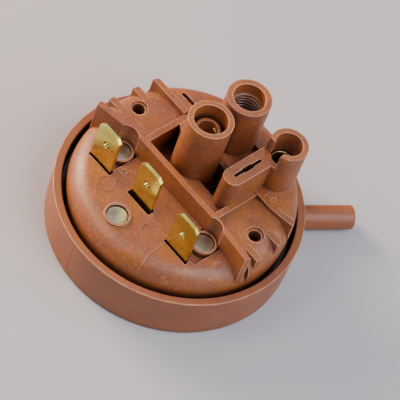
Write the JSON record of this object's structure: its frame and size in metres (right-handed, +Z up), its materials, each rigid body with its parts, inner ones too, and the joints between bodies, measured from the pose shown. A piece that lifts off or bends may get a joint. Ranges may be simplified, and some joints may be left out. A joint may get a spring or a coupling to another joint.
{
  "type": "dishwasher water level sensor",
  "caption": "Round air-pressure level switch for a dishwasher: base cup with hose nipple, moulded housing with adjuster towers, spade tabs and a diaphragm-driven changeover contact.",
  "frame": {"origin": "middle of the cup's flat base", "axes": "+Z up out of the cup, +X along the dividing wall and the line of mounting holes, +Y from the terminals to the adjuster towers"},
  "size_m": [0.055, 0.064, 0.033],
  "materials": {
    "cup_plastic": "moulded glass-filled plastic, orange brown",
    "housing_plastic": "moulded glass-filled plastic, copper brown with flow marks",
    "inner_plastic": "plain moulded plastic",
    "screw_plastic": "moulded plastic, copper brown",
    "rubber": "matt moulded rubber",
    "steel": "stamped bright steel",
    "spring_steel": "drawn spring wire",
    "brass": "stamped brass, bright",
    "silver": "silver plated rivet, satin"
  },
  "bodies": {
    "case": {"pressure_cup": "cup_plastic", "switch_housing": "housing_plastic", "diaphragm": "rubber", "lever_pin": "steel", "nc_terminal": "brass", "common_terminal": "brass", "no_terminal": "brass", "nc_contact_rivet": "silver", "no_contact_rivet": "silver", "common_rivet": "silver", "common_bracket": "brass", "rocker_pin": "steel", "set_spring": "spring_steel", "reset_spring": "spring_steel", "trim_spring": "spring_steel", "return_spring": "spring_steel"},
    "piston": {"diaphragm_plate": "inner_plastic", "push_pin": "steel"},
    "lever": {"range_lever": "steel"},
    "rocker": {"contact_rocker": "brass", "moving_contacts": "silver"},
    "set_seat": {"set_spring_seat": "brass"},
    "set_adjuster": {"set_screw": "screw_plastic"},
    "reset_seat": {"reset_spring_seat": "brass"},
    "reset_adjuster": {"reset_screw": "screw_plastic"},
    "trim_seat": {"trim_spring_seat": "brass"},
    "trim_adjuster": {"trim_screw": "brass"}
  },
  "joints": [
    {"name": "diaphragm_lift", "type": "slide", "parent": "case", "child": "piston", "axis": [0, 0, 1], "range_m": [0, 0.0007], "stiffness_N_per_m": 400, "springref_m": -0.0001, "deforming": ["diaphragm"]},
    {"name": "lever_swing", "type": "hinge", "parent": "case", "child": "lever", "pos_m": [-0.0024, 0.0196, 0.00958], "axis": [-1, 0, 0], "range_deg": [0, 2.07], "deforming": ["set_spring", "reset_spring", "trim_spring"]},
    {"name": "rocker_swing", "type": "hinge", "parent": "case", "child": "rocker", "pos_m": [0, -0.0069, 0.01104], "axis": [0, -1, 0], "range_deg": [0, 5.02], "deforming": ["return_spring"]},
    {"name": "set_screw_advance", "type": "slide", "parent": "case", "child": "set_seat", "axis": [0, 0, 1], "range_m": [-0.001, 0.001]},
    {"name": "set_screw_turn", "type": "hinge", "parent": "set_seat", "child": "set_adjuster", "pos_m": [-0.0024, 0.004, 0], "axis": [0, 0, 1], "range_deg": [-360, 360]},
    {"name": "reset_screw_advance", "type": "slide", "parent": "case", "child": "reset_seat", "axis": [0, 0, 1], "range_m": [-0.001, 0.001]},
    {"name": "reset_screw_turn", "type": "hinge", "parent": "reset_seat", "child": "reset_adjuster", "pos_m": [-0.0024, 0.015, 0], "axis": [0, 0, 1], "range_deg": [-360, 360]},
    {"name": "trim_screw_advance", "type": "slide", "parent": "case", "child": "trim_seat", "axis": [0, 0, 1], "range_m": [-0.001, 0.001]},
    {"name": "trim_screw_turn", "type": "hinge", "parent": "trim_seat", "child": "trim_adjuster", "pos_m": [0.0106, 0.0153, 0], "axis": [0, 0, 1], "range_deg": [-360, 360]}
  ],
  "couplings": [
    {"joint": "lever_swing", "follows": "diaphragm_lift", "rad_per_m": 51.02},
    {"joint": "rocker_swing", "follows": "diaphragm_lift", "rad_per_m": 124.58},
    {"joint": "set_screw_turn", "follows": "set_screw_advance", "rad_per_m": 6283.2},
    {"joint": "reset_screw_turn", "follows": "reset_screw_advance", "rad_per_m": 6283.2},
    {"joint": "trim_screw_turn", "follows": "trim_screw_advance", "rad_per_m": 6283.2}
  ]
}
